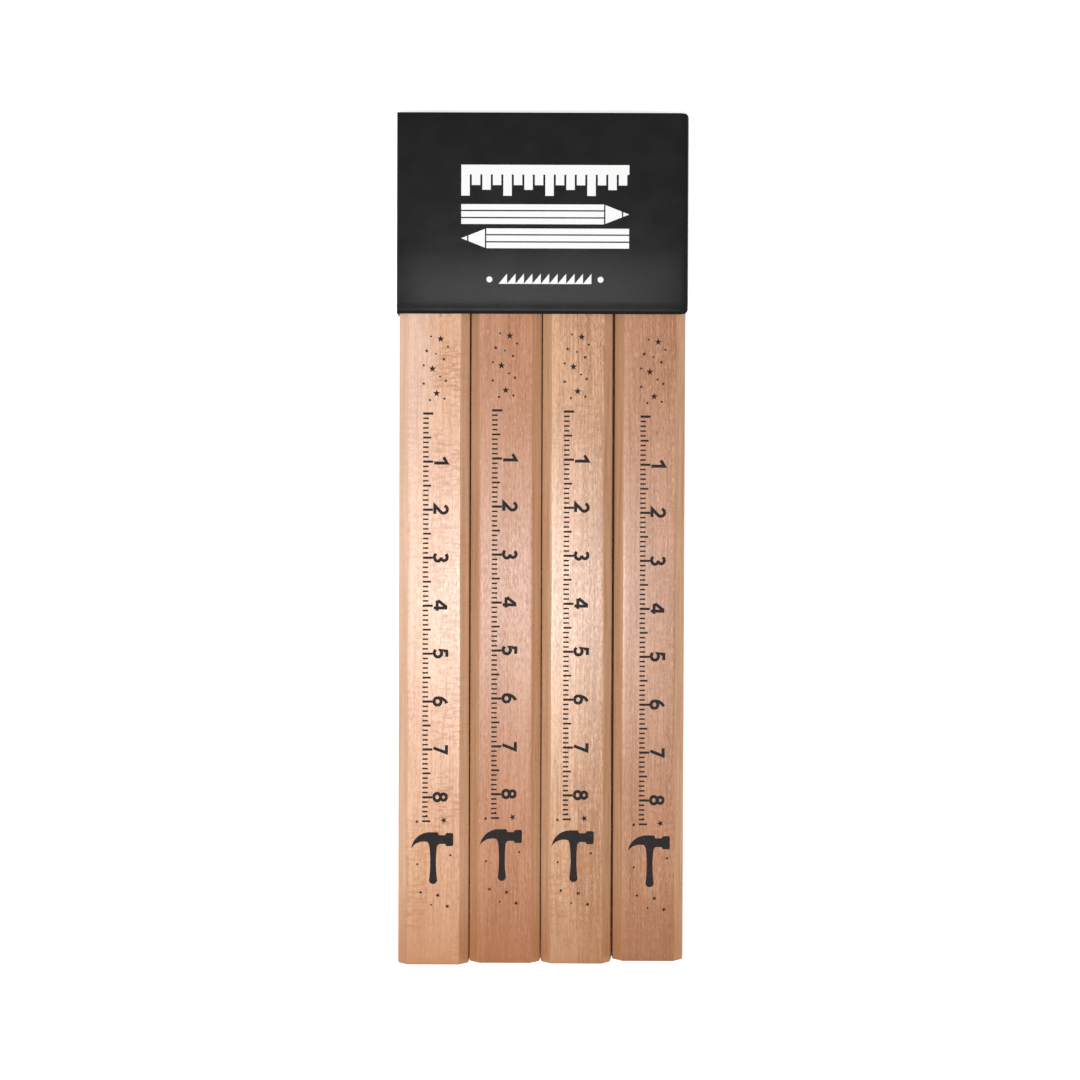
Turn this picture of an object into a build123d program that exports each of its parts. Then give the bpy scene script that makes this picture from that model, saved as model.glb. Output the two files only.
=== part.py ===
"""Four flat carpenter pencils held side by side by a black card sleeve at one end.

Frame, in millimetres: the set lies flat, face up. +X runs across the four pencils, +Y runs along them
towards the sleeve, +Z points up out of the printed faces. The origin is in the middle of the set's
footprint, on the surface it lies on.

Each pencil is two grooved slats glued face to face round a flat graphite lead. The sleeve is one sheet
of card wrapped round the set, open at both ends, with its glue flap under the front panel's left edge.
"""

import os

from build123d import *

# The pencils
PENCIL_COUNT = 4
PENCIL_LENGTH = 176.0
PENCIL_WIDTH = 14.8
PENCIL_THICKNESS = 7.0
PENCIL_BEVEL = 1.95  # how far each long corner is planed off, at 45 degrees
PENCIL_EDGE_RADIUS = 0.35  # sanding along the eight long edges
PENCIL_END_RADIUS = 0.25  # sanding round each sawn end
PENCIL_GAP = 0.15  # air between neighbouring pencils
PENCIL_RAISE = (0.0, 0.4, 0.3, 0.9)  # how much further each pencil is pushed into the sleeve

# The lead inside each pencil
LEAD_WIDTH = 5.4
LEAD_THICKNESS = 2.2
LEAD_CORNER_RADIUS = 0.5

# The card sleeve
CARD = 0.3  # thickness of the sheet
SLEEVE_LENGTH = 41.6
SLEEVE_CLEARANCE = 0.1  # air between the pencils and the card, all round
SLEEVE_OVERHANG = 1.4  # how far the sleeve stands past the pencils' upper ends
GLUE_FILM = 0.04  # thickness of the glue between the flap and the front panel
GLUE_FLAP_WIDTH = 11.0
FOLD_RADIUS = 0.7  # outside of the folds down the right-hand side
LEFT_FOLD_RADIUS = 0.5  # outside of the folds down the left-hand side
SLEEVE_CORNER_RADIUS = 1.2  # die-cut corners at the ends of the right-hand folds

# Worked out from those
PENCIL_PITCH = PENCIL_WIDTH + PENCIL_GAP
ROW_WIDTH = PENCIL_COUNT * PENCIL_PITCH - PENCIL_GAP
SLEEVE_WIDTH = ROW_WIDTH + 2 * (SLEEVE_CLEARANCE + CARD)
PENCIL_FLOOR = CARD + SLEEVE_CLEARANCE  # height of the pencils' undersides
PENCIL_TOP = PENCIL_FLOOR + PENCIL_THICKNESS
FLAP_UNDERSIDE = PENCIL_TOP + SLEEVE_CLEARANCE
FRONT_UNDERSIDE = FLAP_UNDERSIDE + CARD + GLUE_FILM
SLEEVE_HEIGHT = FRONT_UNDERSIDE + CARD
TOTAL_LENGTH = PENCIL_LENGTH + SLEEVE_OVERHANG
SLEEVE_END = TOTAL_LENGTH / 2  # the sleeve's upper end, along Y
SLEEVE_MOUTH = SLEEVE_END - SLEEVE_LENGTH  # where the pencils come out of it
SLEEVE_LEFT = -SLEEVE_WIDTH / 2
SLEEVE_RIGHT = SLEEVE_WIDTH / 2


def along_y(section, length):
    """A section drawn in X and Z, carried along Y by half the length each way."""
    return extrude(Plane.XZ * section, amount=length / 2, both=True)


def slab(x_low, x_high, z_low, z_high):
    """A rectangle in a section, given by its sides."""
    middle = Pos((x_low + x_high) / 2, (z_low + z_high) / 2)
    return middle * Rectangle(x_high - x_low, z_high - z_low)


def pencil_blank():
    """The whole pencil's outside: a flat octagon along Y, with its long edges and its ends sanded."""
    side, face = PENCIL_WIDTH / 2, PENCIL_THICKNESS / 2
    side_flat, face_flat = face - PENCIL_BEVEL, side - PENCIL_BEVEL
    quarter = [(side, side_flat), (face_flat, face)]
    corners = quarter + [(-x, z) for x, z in reversed(quarter)]
    corners += [(-x, -z) for x, z in corners]
    outline = Polygon(*corners, align=None)
    outline = fillet(outline.vertices(), PENCIL_EDGE_RADIUS)
    blank = along_y(outline, PENCIL_LENGTH)
    ends = blank.faces().filter_by(Axis.Y).edges()
    return fillet(ends, PENCIL_END_RADIUS)


def lead():
    """The flat graphite lead, as long as the pencil and flush with both of its ends."""
    section = RectangleRounded(LEAD_WIDTH, LEAD_THICKNESS, LEAD_CORNER_RADIUS)
    return along_y(section, PENCIL_LENGTH)


def slat(side):
    """Half of the blank with half of the lead's groove in it: the upper half for side 1, the lower for -1."""
    half = Box(2 * PENCIL_WIDTH, 2 * PENCIL_LENGTH, PENCIL_THICKNESS)
    return (pencil_blank() & Pos(0, 0, side * PENCIL_THICKNESS / 2) * half) - lead()


def pencil_place(number):
    """Where the middle of a pencil lies in the set, counting from 1 on the left."""
    x = (number - (PENCIL_COUNT + 1) / 2) * PENCIL_PITCH
    y = -SLEEVE_OVERHANG / 2 + PENCIL_RAISE[number - 1]
    return Pos(x, y, PENCIL_FLOOR + PENCIL_THICKNESS / 2)


def sleeve_section():
    """The folded sheet seen from its end: four walls, and the glue flap inside the front panel's left end.

    The front panel's left edge is a free cut edge. A slit as thick as the glue film parts it from the
    left-hand fold and the flap.
    """
    outside = slab(SLEEVE_LEFT, SLEEVE_RIGHT, 0, SLEEVE_HEIGHT)
    outside = fillet(outside.vertices().group_by(Axis.X)[-1], FOLD_RADIUS)
    bottom_left = outside.vertices().group_by(Axis.Y)[0].sort_by(Axis.X)[0]
    outside = fillet(bottom_left, LEFT_FOLD_RADIUS)
    inside = slab(SLEEVE_LEFT + CARD, SLEEVE_RIGHT - CARD, CARD, FRONT_UNDERSIDE)
    inside = fillet(inside.vertices().group_by(Axis.X)[-1], FOLD_RADIUS - CARD)
    flap_tip = SLEEVE_LEFT + CARD + GLUE_FLAP_WIDTH
    flap_top = FRONT_UNDERSIDE - GLUE_FILM
    flap = slab(SLEEVE_LEFT + CARD, flap_tip, FLAP_UNDERSIDE, flap_top)
    slit = slab(SLEEVE_LEFT - CARD, flap_tip, flap_top, FRONT_UNDERSIDE)
    folded = (outside - inside + flap) - slit
    shoulder = [
        v
        for v in folded.vertices()
        if abs(v.X - SLEEVE_LEFT) < 1e-6 and abs(v.Y - flap_top) < 1e-6
    ]
    return fillet(shoulder, LEFT_FOLD_RADIUS)


def card_sleeve():
    """The sleeve in place, with the die-cut corners rounded at the ends of its right-hand side."""
    middle_y = (SLEEVE_END + SLEEVE_MOUTH) / 2
    tube = Pos(0, middle_y, 0) * along_y(sleeve_section(), SLEEVE_LENGTH)
    plan = Pos(0, middle_y) * Rectangle(SLEEVE_WIDTH, SLEEVE_LENGTH)
    plan = fillet(plan.vertices().group_by(Axis.X)[-1], SLEEVE_CORNER_RADIUS)
    return tube & extrude(plan, SLEEVE_HEIGHT)


def write(shape, node):
    """Writes one node's STEP file."""
    shape.label = node
    export_step(shape, f"parts/{node}.step")


os.makedirs("parts", exist_ok=True)
write(card_sleeve(), "card_sleeve")
for number in range(1, PENCIL_COUNT + 1):
    place = pencil_place(number)
    write(place * slat(1), f"pencil_{number}_upper_slat")
    write(place * slat(-1), f"pencil_{number}_lower_slat")
    write(place * lead(), f"pencil_{number}_lead")
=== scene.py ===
import math

import bpy
import numpy as np
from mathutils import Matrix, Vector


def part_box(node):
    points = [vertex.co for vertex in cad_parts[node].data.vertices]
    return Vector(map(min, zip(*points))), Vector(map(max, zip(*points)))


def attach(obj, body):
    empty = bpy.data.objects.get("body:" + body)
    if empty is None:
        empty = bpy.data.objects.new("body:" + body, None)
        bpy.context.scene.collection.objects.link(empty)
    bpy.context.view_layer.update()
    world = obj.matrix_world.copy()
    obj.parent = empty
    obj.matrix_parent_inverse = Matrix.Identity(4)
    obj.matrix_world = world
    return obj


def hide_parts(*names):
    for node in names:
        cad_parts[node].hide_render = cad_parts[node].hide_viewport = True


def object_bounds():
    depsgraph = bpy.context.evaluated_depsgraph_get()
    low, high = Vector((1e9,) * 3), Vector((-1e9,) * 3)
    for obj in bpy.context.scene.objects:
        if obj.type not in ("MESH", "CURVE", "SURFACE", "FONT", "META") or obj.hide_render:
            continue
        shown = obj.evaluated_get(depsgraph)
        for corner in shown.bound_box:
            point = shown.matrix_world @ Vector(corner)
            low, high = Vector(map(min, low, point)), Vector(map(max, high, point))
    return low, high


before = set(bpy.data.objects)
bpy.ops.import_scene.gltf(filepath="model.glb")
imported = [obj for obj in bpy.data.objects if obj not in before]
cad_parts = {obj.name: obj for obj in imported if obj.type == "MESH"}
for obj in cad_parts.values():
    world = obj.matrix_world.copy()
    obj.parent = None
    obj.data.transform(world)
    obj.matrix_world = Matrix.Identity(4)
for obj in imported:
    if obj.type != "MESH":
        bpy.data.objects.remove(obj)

CAD_LOW, CAD_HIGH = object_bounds()

MM = 0.001
PENCILS = (1, 2, 3, 4)
SLEEVE_LOW, SLEEVE_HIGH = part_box("card_sleeve")
SLEEVE_X = (SLEEVE_LOW.x + SLEEVE_HIGH.x) / 2

# Pencil shape, beyond what the frame gives
BEVEL = 1.95 * MM  # how far each long corner is planed off
EDGE_RADIUS = 0.14 * MM  # sanding along the long edges
END_RADIUS = 0.3 * MM  # sanding round the sawn ends
BEVEL_DRIFT = 0.07 * MM  # how much a planed bevel's width wanders along the pencil
SIDE_SWELL = 0.055 * MM  # how far the narrow sides stand out at their lower edges
# How many millimetres each pencil's right and left sides lie in at their upper edges, near the sleeve's mouth
# and at the lower end, which makes the gaps between the pencils differ
SIDE_PLAY = {
    1: ((0.11, 0.03), (0, 0)),
    2: ((0.05, 0.04), (0.11, 0.03)),
    3: ((0.17, 0.15), (0.05, 0.04)),
    4: ((0, 0), (0.17, 0.15)),
}
GLUE_LINE = 0.03 * MM  # depth of the joint line between the two slats
GROOVE_RADIUS = 0.5 * MM  # corners of the lead's groove

# Card sleeve
CARD = 0.3 * MM
SEAM = 0.04 * MM  # the glue between flap and front panel
FLAP_WIDTH = 11.0 * MM
RIGHT_FOLD = 0.7 * MM  # outside radius of the right-hand folds
LEFT_FOLD = 0.5 * MM  # outside radius of the left-hand folds
CUT_CORNER = 1.2 * MM  # die-cut corners at the ends of the right-hand folds
CUT_ROUND = 0.06 * MM  # softness of the card's cut edges
PANEL_SINK = 0.024 * MM  # the front panel lies this far under the CAD's upper face
# The front panel's shape near its edges, each as how far and over what length, in millimetres
MOUTH_DIP = (0.17, 14.0)
MOUTH_FLARE = (0.14, 3.2)
SIDE_DIP = (0.05, 5.0)
RIPPLE = 0.003  # how far the front panel waves up and down, in millimetres
FLAP_SHARE = 0.55  # how much of the front panel's dip the glue flap under it follows
FOLD_FADE = 0.2 * MM  # the dip fades out over this height below the flap

# Printing
INK = 0.018 * MM  # how far the ink stands over what it is printed on
INK_ROOT = 0.06 * MM  # how far it reaches down into it
INK_STEP = 0.0004 * MM  # shapes that cross lie this much over each other
INK_LEVELS = 5  # how many such steps there are before the first height comes again


# ---------------------------------------------------------------- meshes

def hang(mesh_object, body, slot, *replaced):
    """Ties a finished piece to its body and hides the CAD nodes that it stands for. slot is not used."""
    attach(mesh_object, body)
    if replaced:
        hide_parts(*replaced)
    return mesh_object


def make_object(name, points, faces, material, sharp=35):
    """A mesh object from an array of points and lists of corner numbers.

    It is shaded smooth, but for edges that turn by more than sharp degrees.
    """
    mesh = bpy.data.meshes.new(name)
    mesh.from_pydata(np.asarray(points).reshape(-1, 3).tolist(), [], faces)
    mesh.validate()
    mesh.shade_smooth()
    mesh.set_sharp_from_angle(angle=math.radians(sharp))
    mesh.materials.append(material)
    made = bpy.data.objects.new(name, mesh)
    bpy.context.scene.collection.objects.link(made)
    return made


def carried_profile(name, rings, material, sharp=35):
    """A closed skin through rings, with a flat face on the first and on the last.

    rings is an array of (stations, points round, 3). The points go round each ring so that ring direction
    times travel direction points outwards.
    """
    stations, around = rings.shape[:2]
    ring, point = np.meshgrid(np.arange(stations - 1), np.arange(around), indexing="ij")
    following = (point + 1) % around
    corners = [ring * around + point, ring * around + following,
               (ring + 1) * around + following, (ring + 1) * around + point]
    faces = np.stack(corners, axis=-1).reshape(-1, 4).tolist()
    faces.append(list(range(around))[::-1])
    faces.append(list(range((stations - 1) * around, stations * around)))
    return make_object(name, rings, faces, material, sharp)


def printed_shapes(name, outlines, top, material):
    """Flat shapes of ink, each standing up from just under the surface.

    An outline is an array of (points, 2) going anticlockwise. top gives the height of the ink's face at
    places (x, y). Neighbouring shapes lie at slightly different heights, so that they share no plane where
    they cross.
    """
    points, faces, first = [], [], 0
    for index, outline in enumerate(outlines):
        count = len(outline)
        face_height = top(outline[:, 0], outline[:, 1]) + INK_STEP * (index % INK_LEVELS)
        points.append(np.column_stack([outline, face_height]))
        points.append(np.column_stack([outline, face_height - INK - INK_ROOT]))
        upper = np.arange(first, first + count)
        lower = upper + count
        faces.append(upper.tolist())
        faces.append(lower[::-1].tolist())
        sides = [upper, lower, np.roll(lower, -1), np.roll(upper, -1)]
        faces += np.stack(sides, axis=-1).tolist()
        first += 2 * count
    return make_object(name, np.concatenate(points), faces, material, sharp=20)


def wander(along, period, seed):
    """A smooth wave between about -1 and 1: three sines whose periods and starts come from the seed."""
    rng = np.random.default_rng(seed)
    total = np.zeros_like(along)
    for share in (0.5, 0.3, 0.2):
        length = period * rng.uniform(0.5, 1.6)
        total += share * np.sin(2 * np.pi * (along / length + rng.uniform()))
    return total


def between(start, end, count):
    """The points strictly between two ends, evenly spaced, with the new axis last."""
    share = np.arange(1, count + 1) / (count + 1)
    return start[..., None] + (end - start)[..., None] * share


def slat_rings(node_low, node_high, side, number):
    """Rings of one slat: half of a flat octagon with rounded corners, with half of the lead's groove in it.

    Each corner of the octagon is an arc that turns by 45 degrees. Towards the ends the whole outline is set
    in by a quarter circle, which rounds the sawn ends. The narrow sides run in a straight line from their
    upper edge out to their lower one. side is 1 for the upper slat and -1 for the lower one.
    """
    middle_x = (node_low.x + node_high.x) / 2
    half_width = (node_high.x - node_low.x) / 2
    thickness = node_high.z - node_low.z
    joint_z = node_low.z if side > 0 else node_high.z

    turn = np.linspace(0, np.pi / 2, 6)
    end_y = END_RADIUS * (1 - np.sin(turn))
    end_inset = END_RADIUS * (1 - np.cos(turn))
    run = np.linspace(node_low.y + END_RADIUS, node_high.y - END_RADIUS, 110)
    y = np.concatenate([node_low.y + end_y[::-1], run[1:-1], node_high.y - end_y])
    inset = np.concatenate([end_inset[::-1], np.zeros(len(run) - 2), end_inset])

    def flank(bevel, play):
        """One side's outline from the joint up to the face: x from the middle, height over the joint."""
        corner_cut = (math.sqrt(2) - 1) * inset
        upper_edge = np.interp(y, (node_low.y, SLEEVE_LOW.y), play[::-1]) * MM
        lower_edge = np.full(len(y), -SIDE_SWELL)
        joint_in = (upper_edge + lower_edge) / 2
        lain_in = upper_edge if side > 0 else lower_edge
        low_x, low_z = half_width - inset - lain_in, thickness - bevel - corner_cut
        high_x, high_z = half_width - bevel - corner_cut, thickness - inset
        tangent = EDGE_RADIUS * math.tan(math.pi / 8)
        angle = np.linspace(0, np.pi / 4, 6)
        low_arc_x = (low_x - EDGE_RADIUS)[:, None] + EDGE_RADIUS * np.cos(angle)
        low_arc_z = (low_z - tangent)[:, None] + EDGE_RADIUS * np.sin(angle)
        high_arc_x = (high_x - tangent)[:, None] + EDGE_RADIUS * np.cos(angle + np.pi / 4)
        high_arc_z = (high_z - EDGE_RADIUS)[:, None] + EDGE_RADIUS * np.sin(angle + np.pi / 4)
        side_z = np.concatenate([np.zeros((len(y), 1)), np.full((len(y), 1), GLUE_LINE),
                                 between(np.full(len(y), GLUE_LINE), low_arc_z[:, 0], 4)], axis=1)
        side_x = low_x[:, None] + (lain_in - joint_in)[:, None] * (1 - side_z / low_arc_z[:, :1])
        side_x[:, 0] -= GLUE_LINE
        bevel_x = between(low_arc_x[:, -1], high_arc_x[:, 0], 5)
        bevel_z = between(low_arc_z[:, -1], high_arc_z[:, 0], 5)
        return (np.concatenate([side_x, low_arc_x, bevel_x, high_arc_x], axis=1),
                np.concatenate([side_z, low_arc_z, bevel_z, high_arc_z], axis=1))

    seed = 10 * number + side
    right_play, left_play = SIDE_PLAY[number]
    right_x, right_z = flank(BEVEL + BEVEL_DRIFT * wander(y, 60 * MM, seed), right_play)
    left_x, left_z = flank(BEVEL + BEVEL_DRIFT * wander(y, 60 * MM, seed + 5), left_play)
    face_x = between(right_x[:, -1], -left_x[:, -1], 18)
    face_z = between(right_z[:, -1], left_z[:, -1], 18)

    lead_low, lead_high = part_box(f"pencil_{number}_lead")
    groove_half = (lead_high.x - lead_low.x) / 2
    groove_depth = (lead_high.z - lead_low.z) / 2
    quarter = np.linspace(0, np.pi / 2, 5)
    arc_x = groove_half - GROOVE_RADIUS + GROOVE_RADIUS * np.cos(quarter)
    arc_z = groove_depth - GROOVE_RADIUS + GROOVE_RADIUS * np.sin(quarter)
    groove_x = np.concatenate([[-groove_half], -arc_x, arc_x[::-1], [groove_half]])
    groove_z = np.concatenate([[0], arc_z, arc_z[::-1], [0]])
    groove_x = np.broadcast_to(groove_x, (len(y), len(groove_x)))
    groove_z = np.broadcast_to(groove_z, (len(y), len(groove_z)))

    x = np.concatenate([right_x, face_x, -left_x[:, ::-1], groove_x], axis=1)
    z = np.concatenate([right_z, face_z, left_z[:, ::-1], groove_z], axis=1)
    rings = np.stack([middle_x + x, np.broadcast_to(y[:, None], x.shape), joint_z + side * z], axis=-1)
    return rings if side < 0 else rings[:, ::-1]


# ---------------------------------------------------------------- shader sums

class Wire:
    """What a socket gives out, so that a shader's sums can be written as Python expressions."""

    def __init__(self, finish, socket):
        self.finish = finish
        self.socket = socket

    def sum(self, operation, first, second=0.0):
        """One step of a sum, as a node."""
        return self.finish.node("ShaderNodeMath", {"operation": operation}, {0: first, 1: second})

    def __add__(self, other):
        return self.sum("ADD", self, other)

    def __sub__(self, other):
        return self.sum("SUBTRACT", self, other)

    def __rsub__(self, other):
        return self.sum("SUBTRACT", other, self)

    def __mul__(self, other):
        return self.sum("MULTIPLY", self, other)

    def __pow__(self, other):
        return self.sum("POWER", self, other)

    def __abs__(self):
        return self.sum("ABSOLUTE", self)

    def fraction(self):
        """What is left over the whole number below it."""
        return self.sum("FRACT", self)

    __radd__ = __add__
    __rmul__ = __mul__


class Finish:
    """A material, and the few kinds of node that its pattern is made of."""

    def __init__(self, name, **constants):
        self.material = bpy.data.materials.new(name)
        self.material.use_nodes = True
        self.tree = self.material.node_tree
        self.shader = self.tree.nodes["Principled BSDF"]
        for socket, value in constants.items():
            self.shader.inputs[socket.replace("_", " ")].default_value = value

    def node(self, kind, settings=None, inputs=None, output=0):
        """Makes a node: its settings first, then the values or links of its sockets. Gives one output."""
        made = self.tree.nodes.new(kind)
        for name, value in (settings or {}).items():
            setattr(made, name, value)
        for name, value in (inputs or {}).items():
            if isinstance(value, Wire):
                self.tree.links.new(value.socket, made.inputs[name])
            else:
                made.inputs[name].default_value = value
        return Wire(self, made.outputs[output])

    def feed(self, **links):
        """Links values to the shader's own sockets."""
        for socket, wire in links.items():
            self.tree.links.new(wire.socket, self.shader.inputs[socket.replace("_", " ")])

    def place(self, offset=(0, 0, 0)):
        """The point on the piece in millimetres, moved by offset so that each piece has its own pattern."""
        here = self.node("ShaderNodeTexCoord", output="Object")
        return self.node("ShaderNodeVectorMath", {"operation": "MULTIPLY_ADD"},
                         {0: here, 1: (1000, 1000, 1000), 2: offset})

    def split(self, vector):
        """The x, y and z of a vector."""
        parts = self.node("ShaderNodeSeparateXYZ", inputs={0: vector})
        outputs = parts.socket.node.outputs
        return [Wire(self, socket) for socket in outputs]

    def noise(self, place, per_mm, detail=2.0, roughness=0.5):
        """Smooth random values about 0.5, with per_mm features in a millimetre along each axis."""
        scaled = self.node("ShaderNodeVectorMath", {"operation": "MULTIPLY"}, {0: place, 1: per_mm})
        return self.node("ShaderNodeTexNoise", None,
                         {"Vector": scaled, "Scale": 1.0, "Detail": detail, "Roughness": roughness})

    def step(self, value, low, high, to_low=0.0, to_high=1.0):
        """A soft step: to_low under low, to_high over high."""
        return self.node("ShaderNodeMapRange", {"interpolation_type": "SMOOTHSTEP"},
                         {"Value": value, "From Min": low, "From Max": high, "To Min": to_low,
                          "To Max": to_high})

    def colour(self, share, first, second):
        """first where share is 0 and second where it is 1."""
        return self.node("ShaderNodeMix", {"data_type": "RGBA"}, {0: share, 6: first, 7: second}, output=2)

    def bump(self, height, distance, strength):
        """A normal that follows height, where a height of 1 stands for distance."""
        return self.node("ShaderNodeBump", None,
                         {"Strength": strength, "Distance": distance, "Height": height})


def rgb(red, green, blue):
    """A colour given as it looks on a screen, from 0 to 255, turned linear for the shader."""
    shares = np.array([red, green, blue]) / 255
    linear = np.where(shares <= 0.04045, shares / 12.92, ((shares + 0.055) / 1.055) ** 2.4)
    return (*linear.tolist(), 1.0)


# ---------------------------------------------------------------- finishes

# Colours that the four woods share
ROSY_CAST = rgb(222, 150, 128)
FIGURE_CAST = rgb(184, 122, 74)
PORE = rgb(112, 66, 42)
# pale flecks, partly a painted glint: the colour is that of the fibres' glints in the highlight
FLECK_AND_GLINT = rgb(250, 226, 200)
BEVEL_STREAK = rgb(168, 130, 88)
# a pale tint for a painted highlight on the upper left part
PAINTED_HIGHLIGHT_TINT = rgb(236, 216, 208)
# the bevels' colour at the darker lower end
DARKER_END_BEVEL = rgb(172, 110, 66)
# painted shade: a dark brown for the narrow sides, so that the gaps between the pencils look dark
PAINTED_GAP_SHADE = rgb(112, 48, 18)
END_RING = rgb(112, 66, 40)


def wood_finish(number, pale, deep, planed, grain, figure, lean, roughness, shine, end_darkening, painted_highlight):
    """Sanded, lightly sealed pencil wood: growth lines, fibres along Y, pores, pale flecks, cross figure.

    The growth lines are rings about a pith far off to the side, so they run straight along the faces and show
    as arcs on the sawn ends. Places are in millimetres: x from the pencil's middle line, y and z from the
    frame's origin.
    pale and deep are the ends of the wood's colours, and planed is the colour of the bevels. grain and figure
    are how strong the fibres and the cross figure are. lean is how much deeper the right half is than the
    left. shine is how much the sealer reflects. end_darkening is how much darker the lower end is.
    painted_highlight is how much paler the upper left part is painted, as a painted highlight for the broad
    tail of the sheen. The pale flecks are partly painted glints, in the colour of the fibres' glints.
    """
    finish = Finish(f"pencil_{number}_wood", IOR=1.5, Specular_IOR_Level=shine)
    rng = np.random.default_rng(number)
    low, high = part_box(f"pencil_{number}_upper_slat")
    middle_mm = (low.x + high.x) / 2 / MM
    here = finish.place((-middle_mm, 0, 0))
    moved = finish.node("ShaderNodeVectorMath", {"operation": "ADD"},
                        {0: here, 1: tuple(rng.uniform(-400, 400, 3))})
    x, y, z = finish.split(here)

    pith_x, pith_z = rng.choice([-1, 1]) * rng.uniform(55, 80), rng.uniform(-30, -10)
    warp = finish.noise(moved, (0.16, 0.012, 0.16), detail=3)
    across, height = x - pith_x, z - pith_z
    distance = (across * across + height * height) ** 0.5 + warp * 9.0
    ring = (distance * rng.uniform(0.42, 0.6)).fraction()
    late_wood = ring ** 4.0 * finish.step(finish.noise(moved, (0.30, 0.02, 0.30), detail=1), 0.40, 0.75)

    fibre = finish.noise(moved, (2.8, 0.09, 2.8), detail=5, roughness=0.62)
    fine = finish.noise(moved, (2.6, 0.75, 2.6), detail=4, roughness=0.7)
    blotch = finish.noise(moved, (0.20, 0.03, 0.20), detail=3)
    tone = finish.noise(moved, (0.5, 0.14, 0.5), detail=3, roughness=0.6)
    pores = finish.step(finish.noise(moved, (3.3, 0.75, 3.3), detail=2), 0.64, 0.69)
    flecks_and_glints = finish.step(finish.noise(moved, (3.6, 0.7, 3.0), detail=2), 0.62, 0.68)
    right_half = finish.step(x, -1.2, 1.6)
    # Painted highlight: a paler strip along the face's left edge, standing in for light on the rounded edge
    painted_edge_highlight = finish.step(x, -4.0, -4.6)

    lower_end = finish.step(y, -58.0, -72.0)
    figured_part = finish.node("ShaderNodeMath", {"operation": "MAXIMUM"},
                               {0: right_half * 0.55 + 0.45, 1: lower_end * 0.8})
    patches = finish.step(finish.noise(moved, (0.12, 0.085, 0.12), detail=1), 0.42, 0.58)
    ripple = finish.noise(moved, (0.36, 1.5, 0.36), detail=4, roughness=0.7)
    figured = finish.step(ripple, 0.48, 0.56) * patches * figured_part * figure

    depth = (finish.step(blotch, 0.3, 0.7) * 0.30 + ((fibre - 0.5) * 2.4 + (fine - 0.5) * 2.6) * grain
             + late_wood * 0.4 + right_half * lean - painted_edge_highlight * 0.22 + 0.25)
    pinker = finish.colour(0.5, pale, ROSY_CAST)
    toned = finish.colour(finish.step(tone, 0.42, 0.62) * 0.3, pale, pinker)
    body = finish.colour(depth, toned, deep)
    body = finish.colour(figured, body, finish.colour(0.5, deep, FIGURE_CAST))
    body = finish.colour(pores * (right_half * 0.30 + 0.20) * grain, body, PORE)
    # Pale flecks in the wood, partly a painted glint
    body = finish.colour(flecks_and_glints * 0.22 * grain, body, FLECK_AND_GLINT)

    normal_x, normal_y, _ = finish.split(finish.node("ShaderNodeTexCoord", output="Normal"))
    bevelled = finish.step(abs(normal_x), 0.3, 0.5)
    streaks = finish.step(finish.noise(moved, (1.7, 0.03, 1.7), detail=3), 0.38, 0.62)
    streaked = finish.colour(streaks * 0.45, planed, finish.colour(0.6, deep, BEVEL_STREAK))
    grained = finish.colour(0.25 + (fibre - 0.5) * 2.6, streaked, body)
    body = finish.colour(bevelled, body, grained)
    # Painted highlight: the upper left part is washed paler, standing in for the broad tail of the sheen
    painted_highlight_area = finish.step(x, 2.5, -3.5) * finish.step(y, -15.0, 50.0)
    body = finish.colour(painted_highlight_area * (1.0 - bevelled * 0.5) * painted_highlight, body, PAINTED_HIGHLIGHT_TINT)
    # The lower end turns darker, and its bevels take their own darker colour
    darker_end = finish.step(y, -66.0, -90.0)
    darker_end_colour = finish.colour(bevelled, deep, DARKER_END_BEVEL)
    body = finish.colour(darker_end * end_darkening, body, darker_end_colour)
    # Painted shade: the narrow sides are darkened, so that the gaps between the pencils look dark
    painted_gap_shade = finish.step(abs(normal_x), 0.90, 0.98)
    body = finish.colour(painted_gap_shade * 0.55, body, PAINTED_GAP_SHADE)
    sawn = finish.step(abs(normal_y), 0.75, 0.95)
    tubes = finish.step(finish.noise(moved, (4.0, 0.3, 4.0), detail=3), 0.40, 0.62)
    end_grain = finish.colour(ring ** 2.5 * 0.75 + tubes * 0.35, deep, END_RING)
    body = finish.colour(sawn * 0.8, body, end_grain)

    saw_marks = finish.noise(moved, (0.25, 6.0, 5.0), detail=1) * sawn
    height = fibre * 0.9 + fine * 0.5 - pores * 0.7 + saw_marks * 1.6
    unsealed = finish.step(abs(normal_x), 0.80, 0.95) * 0.5 + sawn * 0.35
    finish.feed(Base_Color=body,
                Roughness=finish.step(fine, 0.3, 0.7, roughness - 0.02, roughness + 0.03) + unsealed,
                Normal=finish.bump(height, 0.006 * MM, 0.6))
    return finish.material


def graphite_finish():
    """Fired graphite and clay: dark grey, a little metallic, with drag marks."""
    finish = Finish("graphite", Metallic=0.15, IOR=1.7)
    here = finish.place()
    grain = finish.noise(here, (6, 6, 6), detail=3)
    drag = finish.noise(here, (0.6, 8, 9), detail=2)
    body = finish.colour(finish.step(grain, 0.3, 0.7), rgb(36, 36, 39), rgb(56, 56, 60))
    finish.feed(Base_Color=body, Roughness=finish.step(grain, 0.3, 0.7, 0.32, 0.5),
                Normal=finish.bump(grain + drag, 0.02 * MM, 0.6))
    return finish.material


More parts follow.
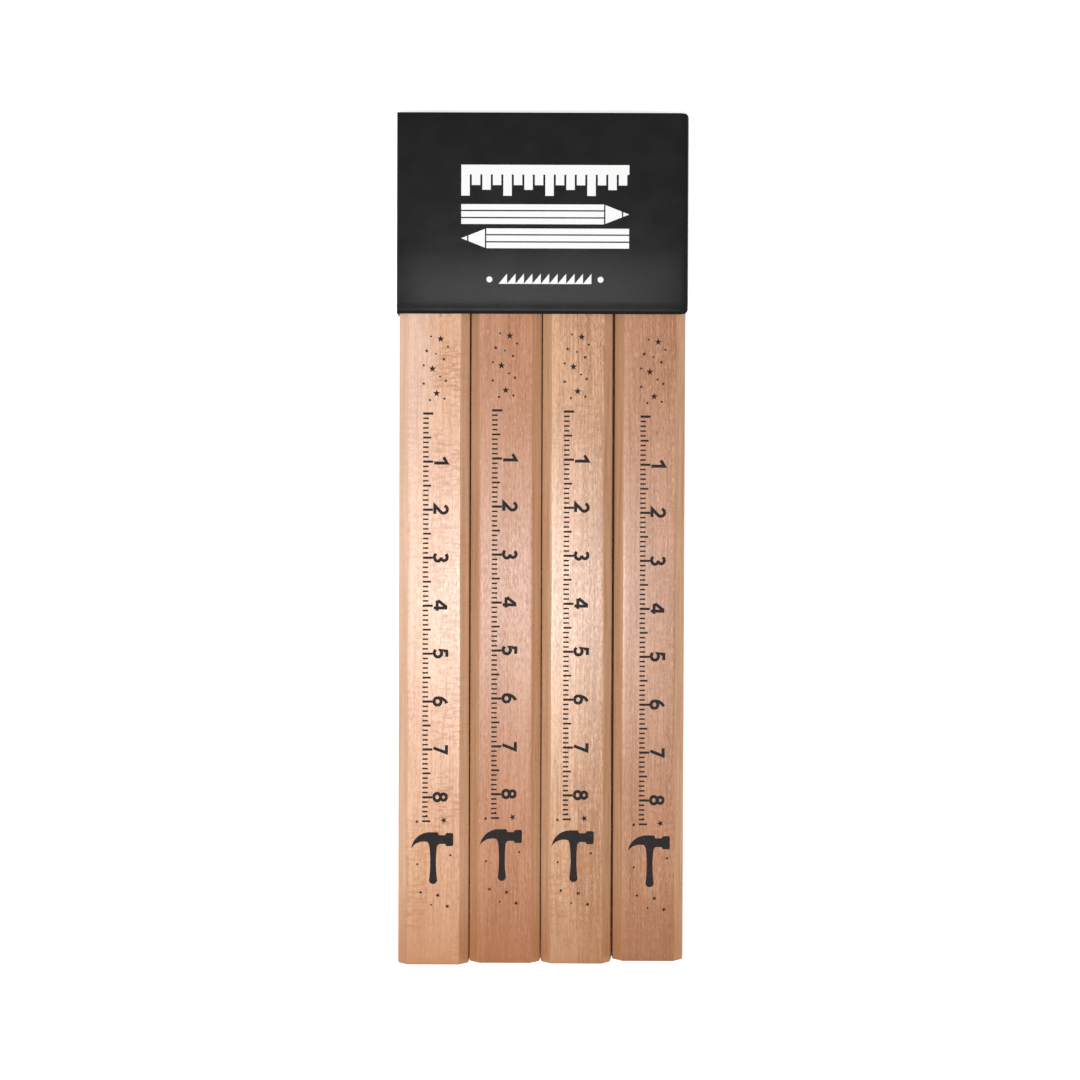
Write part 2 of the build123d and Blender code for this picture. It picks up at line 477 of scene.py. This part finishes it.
def card_finish():
    """Black card with a thin matt film on it, greyer where it is cut, with faint cloudy gloss."""
    finish = Finish("black_card", IOR=1.5)
    here = finish.place()
    cloud = finish.noise(here, (0.16, 0.22, 0.2), detail=3, roughness=0.55)
    tooth = finish.noise(here, (3.5, 3.5, 3.5), detail=3)
    facing = finish.split(finish.node("ShaderNodeTexCoord", output="Normal"))[1]
    cut = finish.step(abs(facing), 0.6, 0.9)
    fibres = finish.noise(here, (4, 4, 14), detail=3)
    core = finish.colour(finish.step(fibres, 0.35, 0.65), rgb(44, 42, 42), rgb(78, 75, 73))
    skin = finish.colour(finish.step(cloud, 0.3, 0.7), rgb(17, 15, 16), rgb(21, 19, 20))
    gloss = finish.step(cloud, 0.3, 0.7, 0.16, 0.19) + (tooth - 0.5) * 0.04 + cut * 0.5
    finish.feed(Base_Color=finish.colour(cut, skin, core), Roughness=gloss,
                Normal=finish.bump(tooth + cloud * 2.0 + fibres * cut * 3.0, 0.006 * MM, 0.5))
    return finish.material


def ink_finish(name, ink, worn, wear):
    """Printed ink with the tiny misses that the surface under it leaves; wear is how much is missed."""
    finish = Finish(name, IOR=1.5, Specular_IOR_Level=0.2)
    here = finish.place()
    misses = finish.noise(here, (4.5, 2.2, 1), detail=3, roughness=0.6)
    missed = finish.step(misses, 0.60, 0.70) * wear
    finish.feed(Base_Color=finish.colour(missed, ink, worn),
                Roughness=finish.step(misses, 0.3, 0.7, 0.55, 0.7),
                Normal=finish.bump(misses, 0.006 * MM, 0.6))
    return finish.material


WOOD_LOOKS = {
    1: dict(pale=rgb(224, 177, 141), deep=rgb(190, 132, 93), planed=rgb(207, 166, 136), grain=0.82,
            figure=0.90, lean=-0.05, roughness=0.30, shine=0.33, end_darkening=0.75, painted_highlight=0.30),
    2: dict(pale=rgb(194, 140, 106), deep=rgb(160, 102, 68), planed=rgb(198, 154, 120), grain=0.70,
            figure=0.20, lean=-0.10, roughness=0.28, shine=0.15, end_darkening=0.6, painted_highlight=0.05),
    3: dict(pale=rgb(216, 169, 131), deep=rgb(168, 118, 82), planed=rgb(205, 162, 129), grain=0.95,
            figure=0.60, lean=0.32, roughness=0.28, shine=0.24, end_darkening=0.6, painted_highlight=0.0),
    4: dict(pale=rgb(190, 139, 105), deep=rgb(152, 101, 70), planed=rgb(197, 154, 120), grain=0.82,
            figure=0.55, lean=0.0, roughness=0.28, shine=0.24, end_darkening=0.6, painted_highlight=0.0),
}
WOODS = {number: wood_finish(number, **look) for number, look in WOOD_LOOKS.items()}
GRAPHITE = graphite_finish()
BLACK_CARD = card_finish()
BLACK_INK = ink_finish("black_ink", rgb(30, 23, 24), rgb(128, 94, 76), 0.38)
WHITE_INK = ink_finish("white_ink", rgb(246, 246, 245), rgb(205, 205, 205), 0.15)


# ---------------------------------------------------------------- pencils

for number in PENCILS:
    for name, side in (("upper", 1), ("lower", -1)):
        node = f"pencil_{number}_{name}_slat"
        low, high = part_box(node)
        rings = slat_rings(low, high, side, number)
        slat = carried_profile(f"pencil_{number}_{name}_wood", rings, WOODS[number])
        hang(slat, f"pencil_{number}", f"pencil_{number}_wood", node)
    lead_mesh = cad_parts[f"pencil_{number}_lead"].data
    lead_mesh.materials.clear()
    lead_mesh.materials.append(GRAPHITE)


# ---------------------------------------------------------------- card sleeve

def panel_drop(x, y):
    """How far the front panel lies under its flat height.

    It dips towards the mouth, lifts again in the last 3 mm, falls off near the folds, and is faintly wavy.
    """
    from_mouth = (y - SLEEVE_LOW.y) / MM
    from_side = (SLEEVE_HIGH.x - SLEEVE_X - abs(x - SLEEVE_X)) / MM
    dip = MOUTH_DIP[0] * np.clip(1 - from_mouth / MOUTH_DIP[1], 0, 1) ** 1.5
    flare = MOUTH_FLARE[0] * np.clip(1 - from_mouth / MOUTH_FLARE[1], 0, 1) ** 2
    shoulder = SIDE_DIP[0] * np.clip(1 - from_side / SIDE_DIP[1], 0, 1) ** 2
    ripple = RIPPLE * np.sin(x / MM / 3.1 + 1.3 * np.sin(y / MM / 5.0)) * np.sin(y / MM / 3.7 + 0.6)
    return (dip - flare + shoulder + ripple) * MM


def panel_face(x, y):
    """Height of the front panel's printed face."""
    return SLEEVE_HIGH.z - PANEL_SINK - panel_drop(x, y)


def folded_line(corners, spacing=0.9 * MM, arc_steps=6):
    """A line through corners, each (x, z, fold radius): its folds are arcs, its straights cut to spacing."""
    points = []
    places = [np.array(corner[:2]) for corner in corners]
    last = places[0]
    points.append(last)
    for index in range(1, len(corners)):
        here = places[index]
        radius = corners[index][2]
        heading = (here - last) / np.linalg.norm(here - last)
        if radius:
            leaving = places[index + 1] - here
            leaving = leaving / np.linalg.norm(leaving)
            half_turn = math.acos(float(np.clip(heading @ leaving, -1, 1))) / 2
            start = here - heading * radius * math.tan(half_turn)
            inward = (leaving - heading) / np.linalg.norm(leaving - heading)
            centre = here + inward * radius / math.cos(half_turn)
        else:
            start = here
        count = max(1, round(np.linalg.norm(start - last) / spacing))
        points += [last + (start - last) * step / count for step in range(1, count + 1)]
        last = start
        if radius:
            reach = start - centre
            across = heading * radius
            for step in range(1, arc_steps + 1):
                angle = 2 * half_turn * step / arc_steps
                last = centre + reach * math.cos(angle) + across * math.sin(angle)
                points.append(last)
    return np.array(points)


def sleeve_rings():
    """The folded sheet: a thin strip of rounded section, as long as the sleeve, carried round the folds.

    At each point of the folded line the strip's outline goes once round in the plane of the sleeve's length
    and the line's normal. The strip is shorter at the right-hand folds by a quarter circle at each end.
    """
    half = CARD / 2
    left, right = SLEEVE_LOW.x + half, SLEEVE_HIGH.x - half
    front, back = SLEEVE_HIGH.z - half, SLEEVE_LOW.z + half
    flap = front - CARD - SEAM
    line = folded_line([
        (SLEEVE_LOW.x, front, 0),
        (right, front, RIGHT_FOLD - half),
        (right, back, RIGHT_FOLD - half),
        (left, back, LEFT_FOLD - half),
        (left, flap, LEFT_FOLD - half),
        (left + FLAP_WIDTH, flap, 0),
    ])
    heading = np.gradient(line, axis=0)
    heading /= np.linalg.norm(heading, axis=1)[:, None]
    outward = np.stack([-heading[:, 1], heading[:, 0]], axis=-1)

    skin_x = line[:, 0] + outward[:, 0] * half
    into_corner = np.clip((skin_x - (SLEEVE_HIGH.x - CUT_CORNER)) / CUT_CORNER, 0, 1)
    trim = CUT_CORNER * (1 - np.sqrt(1 - into_corner ** 2))
    low, high = SLEEVE_LOW.y + trim, SLEEVE_HIGH.y - trim

    run = np.linspace(0, 1, 60)
    quarter = np.linspace(0, np.pi / 2, 4)
    soft_in = CUT_ROUND * (1 - np.cos(quarter))
    soft_off = CUT_ROUND * (1 - np.sin(quarter))
    rise = np.concatenate([-half + soft_off, half - soft_off[::-1]])
    flat = np.full(len(run) - 2, half)
    offsets = np.concatenate([rise, flat, -rise, -flat])
    span = (high - low)[:, None]
    length_in = np.concatenate([soft_in[::-1], soft_in])
    near = low[:, None] + length_in
    far = high[:, None] - length_in
    outer = low[:, None] + span * run[1:-1]
    y = np.concatenate([near, outer, far, outer[:, ::-1]], axis=1)
    x = line[:, :1] + outward[:, :1] * offsets
    z = line[:, 1:] + outward[:, 1:] * offsets
    follows = np.interp(line[:, 1:], (flap - FOLD_FADE, flap, front), (0, FLAP_SHARE, 1))
    z = z - follows * (PANEL_SINK + panel_drop(x, y))
    return np.stack([x, y, z], axis=-1)[:, ::-1]


sleeve = carried_profile("black_card_sleeve", sleeve_rings(), BLACK_CARD, sharp=50)
hang(sleeve, "sleeve", "black_card", "card_sleeve")


# ---------------------------------------------------------------- printing

def bar(x_low, x_high, y_low, y_high):
    """A rectangle."""
    return np.array([(x_low, y_low), (x_high, y_low), (x_high, y_high), (x_low, y_high)])


def disc(x, y, radius, sides=20):
    """A round dot."""
    angle = 2 * np.pi * np.arange(sides) / sides
    return np.column_stack([x + radius * np.cos(angle), y + radius * np.sin(angle)])


def star(x, y, radius, turned=0.0):
    """A plain five-pointed star: ten points whose distance from the middle goes in and out."""
    angle = np.pi / 2 + turned + np.pi * np.arange(10) / 5
    reach = radius * np.where(np.arange(10) % 2 == 0, 1.0, 0.42)
    return np.column_stack([x + reach * np.cos(angle), y + reach * np.sin(angle)])


def bowed(start, end, bow, count=8):
    """Points along an arc from start to just before end, which swells by bow to the right of the way."""
    start, end = np.array(start), np.array(end)
    chord = end - start
    length = np.linalg.norm(chord)
    radius = (length ** 2 / 4 + bow ** 2) / (2 * abs(bow))
    half_angle = math.asin(min(1.0, length / 2 / radius))
    angle = np.linspace(-half_angle, half_angle, count + 1)[:-1]
    forward = chord / length
    rightward = np.array([forward[1], -forward[0]]) * math.copysign(1, bow)
    depth = np.cos(angle) - math.cos(half_angle)
    return (start + end) / 2 + radius * (np.sin(angle)[:, None] * forward + depth[:, None] * rightward)


def hammer(x, y):
    """A claw hammer seen from the side, head up: 9 mm across the head and 10.9 mm tall."""
    parts = [
        bowed((-0.85, -4.7), (0.85, -4.7), 0.75),
        bowed((0.85, -4.7), (0.8, 2.5), -0.22),
        [(0.8, 2.5), (1.25, 2.95), (2.45, 2.95), (2.75, 2.5), (3.95, 2.5), (4.2, 2.75), (4.2, 5.0),
         (3.95, 5.25), (2.75, 5.25), (2.45, 4.8), (1.2, 4.8), (0.9, 5.4), (-0.75, 5.4)],
        bowed((-0.75, 5.4), (-4.6, 2.0), 0.95, 10),
        bowed((-4.6, 2.0), (-1.1, 3.3), -0.65, 10),
        [(-1.1, 3.3)],
        bowed((-0.8, 2.5), (-0.85, -4.7), -0.22),
    ]
    return np.concatenate([np.asarray(part, float) for part in parts]) * MM + (x, y)


def curved(x, y, half_width, half_height, from_degrees, to_degrees, count=9):
    """Points along part of an ellipse about (x, y), between two angles."""
    angle = np.radians(np.linspace(from_degrees, to_degrees, count))
    return np.column_stack([x + half_width * np.cos(angle), y + half_height * np.sin(angle)])


def pen_line(points, width):
    """The outline of a pen's line through points: its left side forwards, then its right side back."""
    points = np.asarray(points, float)
    heading = np.diff(points, axis=0)
    heading /= np.linalg.norm(heading, axis=1)[:, None]
    before = np.vstack([heading[:1], heading])
    after = np.vstack([heading, heading[-1:]])
    middle = before + after
    middle /= np.linalg.norm(middle, axis=1)[:, None]
    widened = width / 2 / np.sum(middle * after, axis=1)[:, None]
    sideways = np.column_stack([-middle[:, 1], middle[:, 0]]) * widened
    return np.vstack([points - sideways, (points + sideways)[::-1]])


# The pen's lines of each figure, in a box 0.6 wide and 1 high
FIGURES = {
    1: [[(0.0, 0.68), (0.42, 0.93), (0.42, 0.0)]],
    2: [np.vstack([curved(0.30, 0.69, 0.27, 0.27, 165, -35), [(0.03, 0.06), (0.62, 0.06)]])],
    3: [curved(0.28, 0.735, 0.25, 0.225, 150, -85), curved(0.28, 0.28, 0.29, 0.24, 85, -150)],
    4: [[(0.48, 0.0), (0.48, 0.98)], [(0.44, 0.94), (-0.06, 0.30)], [(-0.06, 0.24), (0.68, 0.24)]],
    5: [np.vstack([[(0.55, 0.95), (0.13, 0.95), (0.09, 0.52)], curved(0.27, 0.31, 0.29, 0.27, 118, -145)])],
    6: [curved(0.31, 0.29, 0.27, 0.25, 0, 180), curved(0.31, 0.29, 0.27, 0.25, 180, 360),
        curved(0.62, 0.29, 0.58, 0.70, 180, 108)],
    7: [[(0.0, 0.94), (0.56, 0.94), (0.2, 0.0)]],
    8: [curved(0.3, 0.74, 0.23, 0.21, -90, 90), curved(0.3, 0.74, 0.23, 0.21, 90, 270),
        curved(0.3, 0.28, 0.27, 0.24, -90, 90), curved(0.3, 0.28, 0.27, 0.24, 90, 270)],
}


FIGURE_MIDDLE = (0.32, 0.5)
PEN_WEIGHT = 0.22  # the pen's width against the figures' height
FIGURE_HEIGHT = 2.9 * MM


def numeral(figure, x, y):
    """Outlines of one figure, turned a quarter clockwise to read down the pencil and centred on (x, y)."""
    outlines = []
    for line in FIGURES[figure]:
        shape = pen_line(line, PEN_WEIGHT) - FIGURE_MIDDLE
        outlines.append(np.column_stack([shape[:, 1], -shape[:, 0]]) * FIGURE_HEIGHT + (x, y))
    return outlines


# Stars and dots near the sleeve and round the hammer: how far across and along from the marks' middle, and
# their radius, in millimetres
SCATTER_HIGH = [(1.3, 6.4, 0.78), (-1.6, 3.9, 0.46), (2.0, 2.2, 0.44), (-0.4, 0.2, 0.80), (2.4, -2.3, 0.42),
                (-2.2, -2.9, 0.40), (0.5, -4.9, 0.78)]
DOTS_HIGH = [(-0.7, 6.9, 0.20), (2.8, 4.8, 0.22), (0.3, 3.3, 0.19), (-2.2, 0.9, 0.22), (1.2, -1.4, 0.21),
             (-0.9, -6.3, 0.24), (2.1, -6.0, 0.24)]
SCATTER_LOW = [(-3.4, 7.6, 0.44), (2.2, 7.9, 0.74), (-2.6, -7.2, 0.42), (1.0, -7.8, 0.52), (3.0, -10.1, 0.52)]
DOTS_LOW = [(-1.4, 8.8, 0.24), (3.6, 0.6, 0.24), (-0.4, -9.8, 0.20), (-3.3, -1.3, 0.22)]

RULE_TOP = 27.1 * MM  # where the printed rule starts
RULE_LENGTH = 85  # how many millimetres it counts
RULE_EDGE = -2.3 * MM  # how far its straight edge is from the pencil's middle line
# Length and half width, in millimetres, of the ticks at every tenth, every fifth and every other millimetre
TICKS = {10: (2.1, 0.24), 5: (1.7, 0.20), 1: (1.15, 0.17)}
FIGURES_X = 1.45 * MM  # how far the rule's figures are from the pencil's middle line
HAMMER_Y = -65.6 * MM
HIGH_MARKS_Y = 36.2 * MM
STAR_TURN = 0.4  # how far the stars round the hammer are turned, in radians
DOT_SIDES = 10
# How far each pencil's print has slipped across and along, in millimetres
PRINT_SHIFTS = {1: (0.0, -0.7), 2: (-0.6, 0.0), 3: (-0.6, -0.2), 4: (0.35, -1.2)}


def pencil_marks(number):
    """One pencil's print: stars, a millimetre rule with its numbers reading down, and a hammer."""
    low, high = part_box(f"pencil_{number}_upper_slat")
    slip_x, slip_y = (value * MM for value in PRINT_SHIFTS[number])
    x, y = (low.x + high.x) / 2 + slip_x, slip_y
    outlines = [star(x + a * MM, y + HIGH_MARKS_Y + b * MM, r * MM) for a, b, r in SCATTER_HIGH]
    outlines += [disc(x + a * MM, y + HIGH_MARKS_Y + b * MM, r * MM, DOT_SIDES) for a, b, r in DOTS_HIGH]
    outlines += [star(x + a * MM, y + HAMMER_Y + b * MM, r * MM, STAR_TURN) for a, b, r in SCATTER_LOW]
    outlines += [disc(x + a * MM, y + HAMMER_Y + b * MM, r * MM, DOT_SIDES) for a, b, r in DOTS_LOW]
    edge = x + RULE_EDGE
    for count in range(RULE_LENGTH + 1):
        kind = next(step for step in TICKS if count % step == 0)
        reach, half = TICKS[kind]
        tick_y = y + RULE_TOP - count * MM
        outlines.append(bar(edge, edge + reach * MM, tick_y - half * MM, tick_y + half * MM))
        if kind == 10 and count:
            outlines += numeral(count // 10, x + FIGURES_X, tick_y)
    outlines.append(hammer(x, y + HAMMER_Y))

    def face(place_x, _):
        return np.full(len(place_x), high.z + INK)

    return printed_shapes(f"pencil_{number}_print", outlines, face, BLACK_INK)


for number in PENCILS:
    hang(pencil_marks(number), f"pencil_{number}", "black_ink")


def tapered(x_low, x_high, tip, y, slope):
    """The part of a cone that ends in tip, seen from the side, from x_low to x_high."""
    wide, narrow = slope * (tip - x_low), slope * (tip - x_high)
    corners = [(x_low, y - wide), (x_high, y - narrow), (x_high, y + narrow), (x_low, y + wide)]
    if x_high == tip:
        corners = [(x_low, y - wide), (tip, y), (x_low, y + wide)]
    return np.array(corners)


def pencil_sign(x_low, x_high, y, height, points_right):
    """A flat carpenter pencil seen from above: body in three strips, planed cone and the lead's tip."""
    gap = 0.28 * MM
    cone = 5.2 * MM
    tip = 1.5 * MM
    strip = (height - 2 * gap) / 3
    body_end = x_high - cone
    strips_low = [y - height / 2 + row * (strip + gap) for row in range(3)]
    shapes = [bar(x_low, body_end, strip_low, strip_low + strip) for strip_low in strips_low]
    slope = (height / 2) / cone
    cut = x_high - tip
    shapes.append(tapered(body_end + gap, cut, x_high, y, slope))
    shapes.append(tapered(cut + gap, x_high, x_high, y, slope))
    if points_right:
        return shapes
    middle = x_low + x_high
    return [np.column_stack([middle - shape[:, 0], shape[:, 1]])[::-1] for shape in shapes]


# The sleeve's print
PRINT_LEFT, PRINT_RIGHT = -16.9 * MM, 17.9 * MM  # from the sleeve's middle
COMB_LOW, COMB_HIGH = 71.5 * MM, 77.9 * MM
COMB_SPINE = 2.0 * MM  # height of the comb's back
COMB_TEETH = 16
COMB_GROOVE = 0.42 * MM
COMB_REACH = {4: 1.0, 2: 0.72, 1: 0.5}  # how far down every fourth, every second and every other tooth goes
SIGN_HEIGHT = 4.1 * MM
SIGNS = ((67.7 * MM, True), (62.7 * MM, False))  # where each drawn pencil is, and whether it points right
SAW_TEETH = 11
SAW_TOOTH = 1.75 * MM
SAW_Y = 54.2 * MM
SAW_LOW, SAW_HIGH = 0.9 * MM, 1.2 * MM  # how far the teeth go below and above that
SAW_DOT_GAP = 1.9 * MM
SAW_DOT_RADIUS = 0.62 * MM


def sleeve_marks():
    """The sleeve's white print: a comb-like rule, two carpenter pencils, and saw teeth between two dots."""
    x_low, x_high = SLEEVE_X + PRINT_LEFT, SLEEVE_X + PRINT_RIGHT
    spine = COMB_HIGH - COMB_SPINE
    pitch = (x_high - x_low) / COMB_TEETH
    shapes = [bar(x_low, x_high, spine, COMB_HIGH)]
    for index in range(COMB_TEETH):
        kind = next(step for step in COMB_REACH if index % step == 0)
        depth = (spine - COMB_LOW) * COMB_REACH[kind]
        start = x_low + index * pitch
        shapes.append(bar(start, start + pitch - COMB_GROOVE, spine - depth, spine))
    for place_y, points_right in SIGNS:
        shapes += pencil_sign(x_low, x_high, place_y, SIGN_HEIGHT, points_right)
    saw_start = (x_low + x_high) / 2 - SAW_TEETH * SAW_TOOTH / 2
    saw_end = saw_start + SAW_TEETH * SAW_TOOTH
    for index in range(SAW_TEETH):
        start = saw_start + index * SAW_TOOTH
        shapes.append(np.array([(start, SAW_Y - SAW_LOW), (start + SAW_TOOTH, SAW_Y - SAW_LOW),
                                (start + SAW_TOOTH, SAW_Y + SAW_HIGH)]))
    for x in (saw_start - SAW_DOT_GAP, saw_end + SAW_DOT_GAP):
        shapes.append(disc(x, SAW_Y, SAW_DOT_RADIUS))

    def face(place_x, place_y):
        return panel_face(place_x, place_y) + INK

    return printed_shapes("sleeve_print", shapes, face, WHITE_INK)


hang(sleeve_marks(), "sleeve", "white_ink")


# ---------------------------------------------------------------- floor, light and camera

FLOOR_HALF = 3.0  # in metres
FLOOR_Z = -0.02 * MM
# Where the floor's glow starts and where it is full, in millimetres past the object's box
GLOW_FROM, GLOW_TO = -0.8, 0.5
GLOW_STRENGTH = 0.62


def floor_finish():
    """White paper. Past the object's edge it glows a little, which takes the contact shadow's edge off."""
    finish = Finish("floor", Base_Color=(0.94, 0.94, 0.94, 1), Roughness=0.9, Specular_IOR_Level=0.1,
                    Emission_Strength=GLOW_STRENGTH)
    x, y, _ = finish.split(finish.place())
    edge_x, edge_y = CAD_HIGH.x / MM, CAD_HIGH.y / MM
    beyond_x = finish.step(abs(x), edge_x + GLOW_FROM, edge_x + GLOW_TO)
    beyond_y = finish.step(abs(y), edge_y + GLOW_FROM, edge_y + GLOW_TO)
    glow = 1 - (1 - beyond_x) * (1 - beyond_y)
    finish.feed(Emission_Color=finish.colour(glow, (0, 0, 0, 1), (1, 1, 1, 1)))
    return finish.material


floor_corners = [(-1, -1), (1, -1), (1, 1), (-1, 1)]
floor_points = [(x * FLOOR_HALF, y * FLOOR_HALF, FLOOR_Z) for x, y in floor_corners]
make_object("floor", floor_points, [[0, 1, 2, 3]], floor_finish())

CAMERA_HEIGHT = 432 * MM
CAMERA_PITCH = math.radians(-1.0)
CAMERA_ROLL = math.radians(0.2)
AIM = (-0.37 * MM, 0.17 * MM, 7.4 * MM)  # the point on the pencils' faces that the camera looks at
LENS, SENSOR = 68.0, 36.0  # in millimetres
CLIP_START = 10 * MM


def area_light(name, place, aim, size, power, length=None):
    """A soft light at place, turned to aim. It is square, unless its length along X is given.

    place, aim, size and length are in millimetres, and power in watts. A light with a length hangs over its
    aim.
    """
    light = bpy.data.lights.new(name, "AREA")
    light.shape = "RECTANGLE"
    light.size = (length or size) * MM
    light.size_y = size * MM
    light.energy = power
    made = bpy.data.objects.new(name, light)
    bpy.context.scene.collection.objects.link(made)
    made.location = np.array(place) * MM
    made.visible_camera = False
    way = np.array(aim, float) - np.array(place, float)
    sideways = math.hypot(way[0], way[1])
    if sideways:
        made.rotation_euler = (0, -math.atan2(sideways, -way[2]), math.atan2(way[1], way[0]))
    return made


# The main light hangs beside the camera. The glints graze the bevels, and one makes the card's sheen
area_light("key_light", (-14, -32, 432), (0, -32, 0), 50, 1.3)
area_light("left_glint", (-300, -8, 35), (0, -8, 5), 50, 0.12)
area_light("right_glint", (300, -20, 35), (0, -20, 5), 50, 0.03)
area_light("sleeve_glint", (-3, 86, 432), (-3, 86, 0), 8, 0.015, length=115)
area_light("side_light_left", (-260, -15, 200), (0, -15, 0), 100, 0.13)
area_light("side_light_right", (260, -15, 200), (0, -15, 0), 100, 0.13)

world = bpy.data.worlds.new("soft_white_room")
world.use_nodes = True
world.node_tree.nodes["Background"].inputs["Color"].default_value = (1, 1, 1, 1)
world.node_tree.nodes["Background"].inputs["Strength"].default_value = 0.25
bpy.context.scene.world = world

camera_data = bpy.data.cameras.new("camera")
camera_data.lens = LENS
camera_data.sensor_width = SENSOR
camera_data.clip_start = CLIP_START
camera = bpy.data.objects.new("camera", camera_data)
behind = (CAMERA_HEIGHT - AIM[2]) * math.tan(CAMERA_PITCH)
camera.location = (AIM[0], AIM[1] - behind, CAMERA_HEIGHT)
camera.rotation_euler = (CAMERA_PITCH, 0, CAMERA_ROLL)
bpy.context.scene.collection.objects.link(camera)
bpy.context.scene.camera = camera
bpy.context.scene.view_settings.view_transform = "Standard"
bpy.context.scene.view_settings.look = "None"
